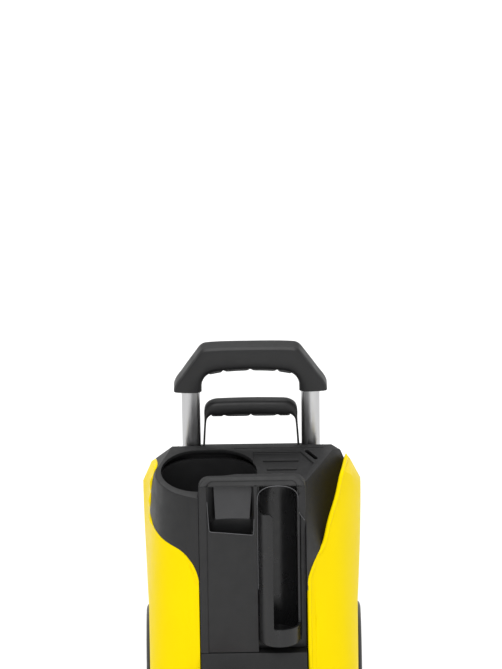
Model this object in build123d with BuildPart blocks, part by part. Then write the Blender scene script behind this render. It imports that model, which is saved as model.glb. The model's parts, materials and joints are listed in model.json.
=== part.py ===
"""Upright electric pressure washer with a telescopic handle and a storage front.

Frame: +Z up, +Y towards the back, origin on the floor under the middle of the box that the machine fills.
The front storage module faces -Y. All sizes are in millimetres.
"""

import os
from math import cos, radians, sin, tan

from build123d import *

os.makedirs("parts", exist_ok=True)

# ---------------------------------------------------------------- driving dimensions
BACK_EDGE_Y = 81  # back edge of the deck
BACK_EDGE_Z = 446.5
DECK_SLOPE = 5.5  # degrees, falling to the front
FRONT_LEAN = 6  # degrees, the front leans back
FRONT_TOP = (-56.4, 453)  # y, z where the leaning front plane ends at the top
SKIRT_Z = 60  # lower edge of the upper body
GAP = 0.4  # clearance between neighbouring pieces
WALL = 3.5

MODULE_HALF = 74  # front storage module
MODULE_TOP_Z = 462.5
MODULE_BACK_Y = -37
MODULE_FOOT_Z = 205

WELL = (-73, 17)  # axis of the detergent bottle well
WELL_R = 53
WELL_WALL = 5
WELL_FLOOR_Z = 340
WELL_STRETCH = 27.5  # the well is a slot, this much between its end centres
HOUSING_FOOT_Z = 296
DECK_WALL = 5
TRAY_DEPTH = 2.5
VALVE_R = 11
FLANGE = 7

CHANNEL_X = 36  # axis of the lance channel
CHANNEL_R = 26
CHANNEL_WALL = 4
CHANNEL_FOOT_Z = 222
CHANNEL_DEPTH = 12  # axis behind the front plane

TUBE_X = 83.5
TUBE_Y = 102
TUBE_R = 13
TUBE_FOOT_Z = 24
TUBE_TOP_Z = 543
TUBE_WALL = 1.5

REAR_BACK_Y = 127
REAR_HALF = 104
REAR_TOP_Z = 428

GRIP_BOTTOM_Z = 530
GRIP_TOP_Z = 588
GRIP_DEPTH = 36
GRIP_BAR_Z = 558  # underside of the grip bar

WHEEL_R = 90
WHEEL_Y = 94
WHEEL_IN = 114
WHEEL_OUT = 152.5
STUB_R = 9

MOTOR_Y = 21  # vertical axis of motor and pump, at x = 0
MOTOR_R = 56
PISTON_CIRCLE_R = 24

FRONT_Y = -184  # front of the foot plinth

LEAN = tan(radians(FRONT_LEAN))
FALL = tan(radians(DECK_SLOPE))


def front_y(z):
    """y of the leaning front plane at height z."""
    return FRONT_TOP[0] - LEAN * (FRONT_TOP[1] - z)


def deck_z(y):
    """Height of the sloping deck at y."""
    return BACK_EDGE_Z - FALL * (BACK_EDGE_Y - y)


def save(part, name):
    """Labels a finished piece and writes its STEP file."""
    part.label = name
    export_step(part, f"parts/{name}.step")


def lean_plane(z, x=0, depth=0):
    """Plane on the leaning front at height z: x to the right, y up the slope, depth goes inwards."""
    normal = Vector(0, -cos(radians(FRONT_LEAN)), sin(radians(FRONT_LEAN)))
    origin = Vector(x, front_y(z), z) - normal * depth
    return Plane(origin=origin, x_dir=(1, 0, 0), z_dir=normal)


def up_slope(z, from_z):
    """Distance along the leaning front from height from_z up to z."""
    return (z - from_z) / cos(radians(FRONT_LEAN))


def channel_y(z):
    """y of the lance channel's axis at height z."""
    return front_y(z) + CHANNEL_DEPTH


# ---------------------------------------------------------------- body envelope
PLAN_TOP_Z = 460  # the plan outline is given at two heights, x and y from the module's corner to the back
PLAN_LOW_Z = 50
LEFT_TOP = [(74, -54), (88, -47), (106, -35), (122, -18), (133, 6), (140, 40), (160, 94)]
RIGHT_TOP = [(74, -54), (84, -37), (96, -15), (114, 4), (131, 26), (146, 54), (160, 94)]
FLANK_LOW = [(74, -98.5), (88, -97.5), (112, -92), (136, -74), (150, -44), (158, 10), (160, 94)]
SHOULDER_END = (152.5, 394)  # below this point the flanks curve gently inwards
LEFT_SHOULDER = [(-SHOULDER_END[0], SHOULDER_END[1]), (-140, 424), (-128, 452)]
RIGHT_SHOULDER = [SHOULDER_END, (138, 424.4), (131, 433.5), (104, 452)]
FLANK_KNEE = (146.5, 235)
FLANK_BULGE = (150.8, 310)
LEFT_CORNER = Plane(origin=(-115, 81, 443), z_dir=(-0.605, 0.145, 0.783))  # bevels the left back corner
RIGHT_FACET = Plane(origin=(113, 64, 445), z_dir=(0.835, -0.443, 0.3255))  # along the deck's right edge


def pulled_in(points, inset):
    """A curve's points, each moved by inset to the curve's left."""
    moved = []
    neighbours = zip(points[:1] + points, points, points[1:] + points[-1:])
    for before, here, after in neighbours:
        along = Vector(*after) - Vector(*before)
        moved.append(Vector(*here) + Vector(-along.Y, along.X).normalized() * inset)
    return moved


def plan_outline(left, right, inset):
    """Closed plan outline: straight across the front and back, a straight and a spline down each flank."""
    ends = []
    for side, flank in ((-1, left), (1, right)):
        points = pulled_in([(side * x, y) for x, y in flank], side * inset)
        Line((0, flank[0][1] + inset), points[0])
        Line(points[0], points[1])
        Spline(*points[1:])
        Line(points[-1], (points[-1].X, 200))
        ends.append((points[-1].X, 200))
    Line(*ends)


def envelope(inset):
    """The body's outer form, pulled in by inset: front, side and plan outlines cut into each other."""
    with BuildPart() as shape:
        plans = ((PLAN_TOP_Z, LEFT_TOP, RIGHT_TOP), (PLAN_LOW_Z, FLANK_LOW, FLANK_LOW))
        for plan_z, left, right in plans:
            with BuildSketch(Plane.XY.offset(plan_z)):
                with BuildLine():
                    plan_outline(left, right, inset)
                make_face()
        loft(ruled=True)
        with BuildSketch(Plane.XZ):
            with BuildLine():
                Polyline(*LEFT_SHOULDER, *RIGHT_SHOULDER[::-1])
                for side in (1, -1):
                    ends = [(side * x, z) for x, z in (SHOULDER_END, FLANK_BULGE, FLANK_KNEE)]
                    ThreePointArc(*ends)
                    Line(ends[-1], (ends[-1][0], SKIRT_Z))
                Line((-FLANK_KNEE[0], SKIRT_Z), (FLANK_KNEE[0], SKIRT_Z))
            make_face()
            if inset:
                offset(amount=-inset, kind=Kind.INTERSECTION)
        extrude(amount=400, both=True, mode=Mode.INTERSECT)
        with BuildSketch(Plane.YZ):
            with BuildLine():
                Polyline(
                    (BACK_EDGE_Y, SKIRT_Z),
                    (BACK_EDGE_Y, BACK_EDGE_Z),
                    (-38, deck_z(-38)),
                    (front_y(deck_z(-38)), deck_z(-38)),
                    (front_y(SKIRT_Z), SKIRT_Z),
                    close=True,
                )
            make_face()
            if inset:
                offset(amount=-inset, kind=Kind.INTERSECTION)
        extrude(amount=200, both=True, mode=Mode.INTERSECT)
        split(bisect_by=LEFT_CORNER.offset(-inset), keep=Keep.BOTTOM)
    return shape.part


body_outer = envelope(0)
body_inner = envelope(WALL)

# ---------------------------------------------------------------- seam between black centre and yellow sides
# x and z of each seam where it crosses the plane y = 0; the parting faces fall towards the back
SEAM_ANGLE = radians(26)
SEAM_FALL = tan(SEAM_ANGLE)
SEAM_REACH = 200  # how far the parting faces run to the front and to the back
LEFT_SEAM = [
    (-133.8, 467), (-131.6, 459), (-134.5, 448.5), (-138.7, 433), (-141.2, 402), (-142.4, 386.5),
    (-140.1, 371), (-133.1, 355.5), (-119.2, 340), (-98.3, 325.5), (-85.8, 309), (-80.3, 297),
    (-76.2, 283), (-74.8, 268),
]
RIGHT_SEAM = [
    (131.8, 467), (124.2, 440.5), (115.9, 402), (110.3, 383.5), (103.3, 355.5), (96.4, 329.5), (88, 314),
    (82.5, 298.5), (78.4, 286), (76.8, 268),
]


def side_region(seam, shift=0):
    """Everything outboard of a seam; shift moves the seam outwards."""
    side = 1 if seam[0][0] > 0 else -1
    lift = SEAM_FALL * SEAM_REACH
    points = [(x + side * shift, z + lift) for x, z in seam]
    with BuildPart() as region:
        with BuildSketch(Plane.XZ.offset(SEAM_REACH)):
            with BuildLine():
                Polyline(
                    points[-1],
                    (points[-1][0], lift - 60),
                    (side * 250, lift - 60),
                    (side * 250, lift + 560),
                    (points[0][0], lift + 560),
                    points[0],
                )
                Spline(*points)
            make_face()
        extrude(amount=2 * SEAM_REACH / cos(SEAM_ANGLE), dir=(0, 1, -SEAM_FALL))
    return region.part


def centre_block(inset):
    """The black centre of the body between the seams and behind the module, pulled in by inset."""
    foot_z = HOUSING_FOOT_Z - (1 if inset else 0)
    with BuildPart() as block:
        add(envelope(inset))
        add(side_region(LEFT_SEAM, -inset), mode=Mode.SUBTRACT)
        add(side_region(RIGHT_SEAM, -inset), mode=Mode.SUBTRACT)
        with Locations((0, 0, foot_z - 150)):
            Box(400, 400, 300, mode=Mode.SUBTRACT)
        with Locations((0, MODULE_BACK_Y + GAP + inset - 100, 300)):
            Box(2 * (MODULE_HALF + GAP + inset), 200, 400, mode=Mode.SUBTRACT)
        split(bisect_by=RIGHT_FACET.offset(-inset), keep=Keep.BOTTOM)
    return block.part


# ---------------------------------------------------------------- top housing with the deck
TRAY = (2, 68.5, 86.5, 72)  # x of its left side, and of the three corners of its pointed right end
TRAY_Y = (-18, -48, -83)  # its back, point and front, measured down the deck from the back edge
RIB_W = 3


def well_slot(radius, low_z, high_z):
    """Upright slot-shaped block on the well's axis."""
    with BuildPart() as block:
        with BuildSketch(Plane.XY.offset(low_z)):
            with Locations((WELL[0] + WELL_STRETCH / 2, WELL[1])):
                SlotCenterToCenter(WELL_STRETCH, 2 * radius)
        extrude(amount=high_z - low_z)
    return block.part


with BuildPart() as top_housing:
    add(centre_block(0))
    add(centre_block(DECK_WALL), mode=Mode.SUBTRACT)
    add(well_slot(WELL_R + WELL_WALL, WELL_FLOOR_Z - WELL_WALL, deck_z(WELL[1] - WELL_R) - 4))
    add(well_slot(WELL_R, WELL_FLOOR_Z, 500), mode=Mode.SUBTRACT)
    # nozzle tray: sunk panel with a pointed right end, two ribs and a hanging slot
    tray_plane = Plane(origin=(0, BACK_EDGE_Y, BACK_EDGE_Z), x_dir=(1, 0, 0), z_dir=(0, -FALL, 1))
    with BuildSketch(tray_plane):
        with BuildLine():
            Polyline(
                (TRAY[0], TRAY_Y[0]), (TRAY[1], TRAY_Y[0]), (TRAY[2], TRAY_Y[1]), (TRAY[3], TRAY_Y[2]),
                (TRAY[0], TRAY_Y[2]), close=True,
            )
        make_face()
    extrude(amount=-TRAY_DEPTH, mode=Mode.SUBTRACT)
    with BuildSketch(tray_plane.offset(-TRAY_DEPTH - 0.5)):
        for middle, length in (((41, -39), 50), ((42, -61), 42)):
            with Locations(middle):
                SlotOverall(length, RIB_W)
    extrude(amount=TRAY_DEPTH)
    with BuildSketch(tray_plane.offset(1)):
        with Locations(Location((83.5, -26.5), -57)):
            SlotOverall(28, 5.5)
    extrude(amount=-30, mode=Mode.SUBTRACT)
    # groove along the back edge
    with BuildSketch(tray_plane.offset(1)):
        with Locations((38, -8)):
            Rectangle(125, 1.6)
    extrude(amount=-2.5, mode=Mode.SUBTRACT)
    # holes for the detergent valve, and clearance for the lance channel's back
    with Locations((WELL[0] + WELL_STRETCH / 2, WELL[1], WELL_FLOOR_Z)):
        Cylinder(VALVE_R + 0.2, 60, mode=Mode.SUBTRACT)
    with BuildSketch(Plane.XY.offset(HOUSING_FOOT_Z - 5)):
        with Locations((CHANNEL_X, channel_y(HOUSING_FOOT_Z))):
            Circle(CHANNEL_R + CHANNEL_WALL + 1.5)
    extrude(amount=MODULE_TOP_Z - HOUSING_FOOT_Z, dir=(0, LEAN, 1), mode=Mode.SUBTRACT)


# ---------------------------------------------------------------- yellow side panels
def side_panel(seam):
    """One side shell: the envelope outboard of the seam, with a return flange and a wheel arch."""
    with BuildPart() as hollow:
        add(body_inner)
        add(side_region(seam, FLANGE), mode=Mode.INTERSECT)
    with BuildPart() as panel:
        add(body_outer)
        add(side_region(seam, GAP), mode=Mode.INTERSECT)
        add(hollow.part, mode=Mode.SUBTRACT)
        add(well_slot(WELL_R + WELL_WALL + GAP, WELL_FLOOR_Z - WELL_WALL - GAP, 480), mode=Mode.SUBTRACT)
        with BuildSketch(Plane.YZ):
            with Locations((WHEEL_Y, WHEEL_R)):
                Circle(WHEEL_R + 9)
        extrude(amount=200, both=True, mode=Mode.SUBTRACT)
        # the sides end behind the deck, and open into the rear housing
        with Locations((0, BACK_EDGE_Y - 2, 250)):
            Box(2 * (REAR_HALF - 6), 12, 500, mode=Mode.SUBTRACT)
    return panel.part


left_side_panel = side_panel(LEFT_SEAM)
right_side_panel = side_panel(RIGHT_SEAM)
save(top_housing.part, "top_housing")
save(left_side_panel, "left_side_panel")
save(right_side_panel, "right_side_panel")

# ---------------------------------------------------------------- front storage module
POCKET = (-63, 3, 380, 453)  # mouth of the holster: x from, x to, z from, z to
POCKET_WALL = (-53, -2, 396, 450)  # upright wall at its back, the same way
POCKET_WALL_Y = -57  # the slanting sides run from here to the back wall
RIM = 11  # width of the frame round the module's front
RIM_LIP = 1.3  # how far that frame stands proud
RIM_TOP_Z = 458.5
CHANNEL_ARCH_Z = 440  # the channel's arched mouth springs from this height
CHANNEL_MOUTH = (7, 64)
POCKET_FOOT_Z = 300
POCKET_BACK_Y = MODULE_BACK_Y - 6
SKIN = 4


def channel_cylinder(radius, low_z, high_z):
    """A round bar along the lance channel's leaning axis."""
    with BuildPart() as bar:
        with BuildSketch(Plane.XY.offset(low_z)):
            with Locations((CHANNEL_X, channel_y(low_z))):
                Circle(radius)
        extrude(amount=(high_z - low_z) / cos(radians(FRONT_LEAN)), dir=(0, LEAN, 1))
    return bar.part


def pocket_mouth():
    """Outline of the holster's mouth, its lower edge falling to the right."""
    left, right, low, high = POCKET
    return Polyline((left, high), (right, high), (right - 1.5, low), (left + 3, low + 6), close=True)


with BuildPart() as storage_module:
    with BuildSketch(Plane.YZ):
        with BuildLine():
            Polyline(
                (MODULE_BACK_Y, MODULE_TOP_Z),
                (FRONT_TOP[0] + 8, MODULE_TOP_Z),
                FRONT_TOP,
                (front_y(MODULE_FOOT_Z), MODULE_FOOT_Z),
                (front_y(MODULE_FOOT_Z) + 42, MODULE_FOOT_Z),
                (MODULE_BACK_Y, 290),
                close=True,
            )
        make_face()
    extrude(amount=MODULE_HALF, both=True)
    # rounded top corners
    fillet(storage_module.edges().filter_by(Axis.Y).group_by(Axis.Z)[-1], 15)
    # panel inside the frame lies a little deeper
    with BuildSketch(Plane.YZ):
        with BuildLine():
            Polyline(
                (FRONT_TOP[0] + 8 + 1.3 * RIM_LIP, MODULE_TOP_Z),
                (FRONT_TOP[0] + 1.2 * RIM_LIP, FRONT_TOP[1]),
                (front_y(MODULE_FOOT_Z) + RIM_LIP, MODULE_FOOT_Z),
                (-140, MODULE_FOOT_Z),
                (-140, MODULE_TOP_Z),
                close=True,
            )
        make_face()
    panel_layer = extrude(amount=MODULE_HALF, both=True, mode=Mode.PRIVATE)
    with BuildSketch(Plane.XZ):
        with Locations((0, RIM_TOP_Z - 200)):
            RectangleRounded(2 * (MODULE_HALF - RIM), 400, 9)
    framed = extrude(amount=200, both=True, mode=Mode.PRIVATE)
    add(panel_layer & framed, mode=Mode.SUBTRACT)
    # trough that the lance channel sits in: arched at the top, running out to the right below the frame
    with BuildSketch(lean_plane(MODULE_FOOT_Z, 0, CHANNEL_DEPTH + 2)):
        with BuildLine():
            spring = up_slope(CHANNEL_ARCH_Z, MODULE_FOOT_Z)
            step = up_slope(400, MODULE_FOOT_Z)
            crown = up_slope(452.5, MODULE_FOOT_Z)
            left, right = CHANNEL_MOUTH
            outer = MODULE_HALF + 2
            ThreePointArc((left, spring), ((left + right) / 2, crown), (right, spring))
            Polyline((right, spring), (right, step + 15), (outer, step), (outer, -5), (left, -5))
            Line((left, -5), (left, spring))
        make_face()
    extrude(amount=60, mode=Mode.SUBTRACT)
    add(channel_cylinder(CHANNEL_R + CHANNEL_WALL + GAP, CHANNEL_FOOT_Z - 4, 452), mode=Mode.SUBTRACT)
    # holster: slanting sides back to an upright wall, and a deeper cavity below
    with BuildSketch(Plane.XZ.offset(-POCKET_BACK_Y)):
        with BuildLine():
            left, right, low, high = POCKET_WALL
            Polyline((left, high), (right, high), (right - 1, low), (left + 2, low), close=True)
        make_face()
    with BuildSketch(Plane.XZ.offset(-POCKET_WALL_Y)):
        with BuildLine():
            pocket_mouth()
        make_face()
    loft(ruled=True, mode=Mode.SUBTRACT)
    with BuildSketch(Plane.XZ.offset(-POCKET_WALL_Y)):
        with BuildLine():
            pocket_mouth()
        make_face()
        fillet(vertices().group_by(Axis.Y)[0] + vertices().group_by(Axis.Y)[1], 4)
    extrude(amount=60, mode=Mode.SUBTRACT)
    with BuildSketch(Plane.YZ.offset(POCKET[0] + SKIN)):
        with BuildLine():
            Polyline(
                (POCKET_BACK_Y, POCKET_WALL[2]),
                (POCKET_BACK_Y, POCKET_FOOT_Z),
                (front_y(POCKET_FOOT_Z) + SKIN, POCKET_FOOT_Z),
                (front_y(POCKET_WALL[2]) + SKIN, POCKET_WALL[2]),
                close=True,
            )
        make_face()
    extrude(amount=POCKET[1] - POCKET[0] - 2 * SKIN, mode=Mode.SUBTRACT)
    # lightening pocket in the back, below the holster
    with BuildSketch(Plane.XZ.offset(-(front_y(MODULE_FOOT_Z) + SKIN + 10))):
        with Locations(((POCKET[0] + POCKET[1]) / 2, 250)):
            Rectangle(56, 70)
    extrude(amount=-80, mode=Mode.SUBTRACT)
    # clearance for the bottle well behind
    add(well_slot(WELL_R + WELL_WALL + GAP, 280, 480), mode=Mode.SUBTRACT)
save(storage_module.part, "storage_module")

# lance channel: a C-shaped tube, its front cut open, closed at the foot
with BuildPart() as lance_channel:
    add(channel_cylinder(CHANNEL_R + CHANNEL_WALL, CHANNEL_FOOT_Z, 451.6))
    add(channel_cylinder(CHANNEL_R, CHANNEL_FOOT_Z + 5, 470), mode=Mode.SUBTRACT)
    with BuildSketch(lean_plane(CHANNEL_FOOT_Z, 0, CHANNEL_DEPTH)):
        with BuildLine():
            foot = up_slope(246, CHANNEL_FOOT_Z)
            top = up_slope(470, CHANNEL_FOOT_Z)
            bend = [(9.6, 424), (13.5, 413), (23, 409.5), (28, 402)]
            bend = [(x, up_slope(z, CHANNEL_FOOT_Z)) for x, z in bend]
            start = bend[0]
            Polyline(bend[-1], (28, foot), (90, foot), (90, top), (-20, top), (-20, start[1]), start)
            Spline(*bend)
        make_face()
    extrude(amount=60, mode=Mode.SUBTRACT)
save(lance_channel.part, "lance_channel")

# ---------------------------------------------------------------- lower front cover with switch and outlet
COVER_TOP = (front_y(MODULE_FOOT_Z - GAP), MODULE_FOOT_Z - GAP)
COVER_KNEE = (-128, 98)
COVER_FOOT = (-142, 62)
KNOB = (-30, 152)  # x, z on the cover
OUTLET = (34, 126)
KNOB_R = 27
OUTLET_R = 7.5


def cover_plane(x, z, lift=0):
    """Plane on the cover's upper face at x, z, raised by lift."""
    share = (COVER_TOP[1] - z) / (COVER_TOP[1] - COVER_KNEE[1])
    y = COVER_TOP[0] + share * (COVER_KNEE[0] - COVER_TOP[0])
    across = Vector(0, COVER_KNEE[0] - COVER_TOP[0], COVER_KNEE[1] - COVER_TOP[1]).normalized()
    normal = Vector(0, across.Z, -across.Y)
    return Plane(origin=Vector(x, y, z) + normal * lift, x_dir=(1, 0, 0), z_dir=normal)


with BuildPart() as front_cover:
    with BuildSketch(Plane.YZ):
        with BuildLine():
            heel = (-60, COVER_FOOT[1])
            Polyline(COVER_TOP, COVER_KNEE, COVER_FOOT, heel, (COVER_TOP[0] + 38, COVER_TOP[1]), close=True)
        make_face()
    extrude(amount=MODULE_HALF, both=True)
    with BuildSketch(Plane.YZ):
        with BuildLine():
            Polyline(
                (COVER_TOP[0] + SKIN + 1, COVER_TOP[1] - SKIN),
                (COVER_KNEE[0] + SKIN + 1, COVER_KNEE[1]),
                (COVER_FOOT[0] + SKIN + 1, COVER_FOOT[1] - 1),
                (0, COVER_FOOT[1] - 1),
                (0, COVER_TOP[1] - SKIN),
                close=True,
            )
        make_face()
    extrude(amount=MODULE_HALF - SKIN, both=True, mode=Mode.SUBTRACT)
    with BuildSketch(cover_plane(*KNOB, 1)):
        Circle(KNOB_R + 5)
    extrude(amount=-3, mode=Mode.SUBTRACT)
    with BuildSketch(cover_plane(*KNOB, 1)):
        Circle(6)
    extrude(amount=-30, mode=Mode.SUBTRACT)
    with BuildSketch(cover_plane(*OUTLET, 1)):
        Circle(15)
    extrude(amount=-30, mode=Mode.SUBTRACT)
save(front_cover.part, "front_cover")

with BuildPart() as power_knob:
    with BuildSketch(cover_plane(*KNOB, -1.5)):
        Circle(KNOB_R)
    extrude(amount=9, taper=4)
    with BuildSketch(cover_plane(*KNOB, 7)):
        SlotOverall(2 * KNOB_R - 5, 13)
    extrude(amount=11)
    with BuildSketch(cover_plane(*KNOB, 0)):
        Circle(5.8)
    extrude(amount=-24)
save(power_knob.part, "power_knob")

with BuildPart() as knob_pointer:
    with BuildSketch(cover_plane(*KNOB, 18)):
        with Locations((0, 15)):
            SlotOverall(12, 3, rotation=90)
    extrude(amount=1)
save(knob_pointer.part, "knob_pointer")

with BuildPart() as power_switch:
    with BuildSketch(cover_plane(*KNOB, -24.5)):
        RectangleRounded(44, 34, 4)
    extrude(amount=-28)
save(power_switch.part, "power_switch")

with BuildPart() as outlet_connector:
    with BuildSketch(cover_plane(*OUTLET, -34)):
        Circle(14.5)
    extrude(amount=44)
    with BuildSketch(cover_plane(*OUTLET, 10)):
        RegularPolygon(13, 6)
    extrude(amount=8)
    with BuildSketch(cover_plane(*OUTLET, 18)):
        Circle(OUTLET_R)
    extrude(amount=-30, mode=Mode.SUBTRACT)
save(outlet_connector.part, "outlet_connector")

# ---------------------------------------------------------------- base chassis, feet and wheel stubs
CHASSIS_TOP_Z = SKIRT_Z - GAP
CHASSIS_FOOT_Z = 14
BRACKET_IN = REAR_HALF + GAP
BRACKET_OUT = 112
POSTS = [(x, y) for x in (-62, 62) for y in (-26, 66)]  # motor posts
POST_TOP_Z = 154

with BuildPart() as base_chassis:
    with BuildSketch(Plane.XY.offset(CHASSIS_FOOT_Z)):
        with BuildLine():
            Polyline(
                (-104, FRONT_Y), (104, FRONT_Y), (146, -92), (146, -16),
                (REAR_HALF, -8), (REAR_HALF, REAR_BACK_Y),
                (-REAR_HALF, REAR_BACK_Y), (-REAR_HALF, -8), (-146, -16), (-146, -92),
                close=True,
            )
        make_face()
        fillet(vertices().group_by(Axis.Y)[0], 28)
        fillet(vertices().filter_by_position(Axis.Y, -93, -91), 30)
    extrude(amount=CHASSIS_TOP_Z - CHASSIS_FOOT_Z)
    # plinth top falls towards the front
    with BuildSketch(Plane.YZ):
        with BuildLine():
            Polyline((-146, 61), (-200, 40), (-200, 80), (-146, 80), close=True)
        make_face()
    extrude(amount=200, both=True, mode=Mode.SUBTRACT)
    with BuildSketch(Plane.XY.offset(CHASSIS_FOOT_Z + SKIN)):
        with BuildLine():
            Polyline(
                (-66, -92), (66, -92), (84, -66), (100, -44), (100, REAR_BACK_Y - SKIN),
                (-100, REAR_BACK_Y - SKIN), (-100, -44), (-84, -66),
                close=True,
            )
        make_face()
    extrude(amount=80, mode=Mode.SUBTRACT)
    # hollows under the front plinth and under the two wings
    with BuildSketch(Plane.XY.offset(CHASSIS_FOOT_Z - 1)):
        with Locations((0, -140)):
            RectangleRounded(130, 70, 8)
    extrude(amount=24, mode=Mode.SUBTRACT)
    with BuildSketch(Plane.XY.offset(CHASSIS_FOOT_Z - 1)):
        with Locations((123, -52), (-123, -52)):
            RectangleRounded(36, 60, 8)
    extrude(amount=38, mode=Mode.SUBTRACT)
    # posts that carry the motor
    with BuildSketch(Plane.XY.offset(CHASSIS_FOOT_Z + 1)):
        with Locations(*POSTS):
            Circle(7)
    extrude(amount=POST_TOP_Z - CHASSIS_FOOT_Z - 1)
    # wheel brackets beside the rear housing
    for side in (1, -1):
        with BuildSketch(Plane.YZ.offset(side * BRACKET_IN)):
            with BuildLine():
                Polyline(
                    (WHEEL_Y - 30, CHASSIS_FOOT_Z), (WHEEL_Y - 30, 50), (WHEEL_Y - 16, 112),
                    (WHEEL_Y + 16, 112), (REAR_BACK_Y, 50), (REAR_BACK_Y, CHASSIS_FOOT_Z),
                    close=True,
                )
            make_face()
            fillet(vertices().group_by(Axis.Y)[-1], 10)
        extrude(amount=side * (BRACKET_OUT - BRACKET_IN))
        with Locations((side * REAR_HALF, (WHEEL_Y - 30 + REAR_BACK_Y) / 2, 34)):
            Box(6, REAR_BACK_Y - WHEEL_Y + 30, 40)
    with BuildSketch(Plane.YZ):
        with Locations((WHEEL_Y, WHEEL_R)):
            Circle(STUB_R)
    extrude(amount=200, both=True, mode=Mode.SUBTRACT)
save(base_chassis.part, "base_chassis")

with BuildPart() as front_feet:
    with Locations((-92, FRONT_Y + 26, 7), (92, FRONT_Y + 26, 7)):
        Cylinder(16, 14)
save(front_feet.part, "front_feet")

with BuildPart() as wheel_axles:
    for side in (1, -1):
        with BuildSketch(Plane.YZ.offset(side * BRACKET_IN)):
            with Locations((WHEEL_Y, WHEEL_R)):
                Circle(STUB_R)
        extrude(amount=side * 44.5)
save(wheel_axles.part, "wheel_axles")


# ---------------------------------------------------------------- wheels
def ring(side, start, length, outer, inner):
    """A ring about the wheel axis; start is measured outwards from the inboard face of the wheel."""
    with BuildPart() as part:
        with BuildSketch(Plane.YZ.offset(side * (WHEEL_IN + start))):
            with Locations((WHEEL_Y, WHEEL_R)):
                Circle(outer)
                if inner:
                    Circle(inner, mode=Mode.SUBTRACT)
        extrude(amount=side * length)
    return part.part


RIM_R = 72
for side, name in ((-1, "left"), (1, "right")):
    with BuildPart() as tyre:
        add(ring(side, 0, WHEEL_OUT - WHEEL_IN, WHEEL_R, RIM_R))
        fillet(tyre.edges().filter_by(GeomType.CIRCLE).sort_by(SortBy.RADIUS)[-2:], 9)
    save(tyre.part, f"{name}_tyre")
    with BuildPart() as rim:
        add(ring(side, 2, 33, RIM_R, RIM_R - 9))
        add(ring(side, 2, 33, 26, 0))
        add(ring(side, 14, 6, RIM_R - 5, 20))
        with BuildSketch(Plane.YZ.offset(side * (WHEEL_IN + 20))):
            with Locations(Location((WHEEL_Y, WHEEL_R), 0)):
                with PolarLocations(44, 6):
                    Rectangle(42, 10)
        extrude(amount=side * 12)
        with BuildSketch(Plane.YZ):
            with Locations((WHEEL_Y, WHEEL_R)):
                Circle(STUB_R + 0.06)
        extrude(amount=200, both=True, mode=Mode.SUBTRACT)
    save(rim.part, f"{name}_rim")
    with BuildPart() as cap:
        add(ring(side, 35.4, 3, 24, 0))
        fillet(cap.edges().filter_by(GeomType.CIRCLE).sort_by(Axis.X)[0 if side < 0 else -1], 1.2)
    save(cap.part, f"{name}_hub_cap")

# ---------------------------------------------------------------- rear housing with the handle's tube guides
REAR_FRONT_Y = BACK_EDGE_Y + GAP
GUIDE_R = 15.6
GUIDE_FOOT_Z = 376
ARM_X = 65  # carry handle arm where it enters the housing
ARM_DEPTH = 22
CARRY_Y = 98
INLET = (45, 112)  # x, z on the housing's back
GLAND = (-45, 112)
REAR_SCREWS = [(x, z) for x in (-90, 90) for z in (84, 230, 360)]


def rear_plane(x, z, lift=0):
    """Plane on the rear housing's back at x, z, looking backwards, raised by lift."""
    return Plane(origin=(x, REAR_BACK_Y + lift, z), x_dir=(-1, 0, 0), z_dir=(0, 1, 0))


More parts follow.
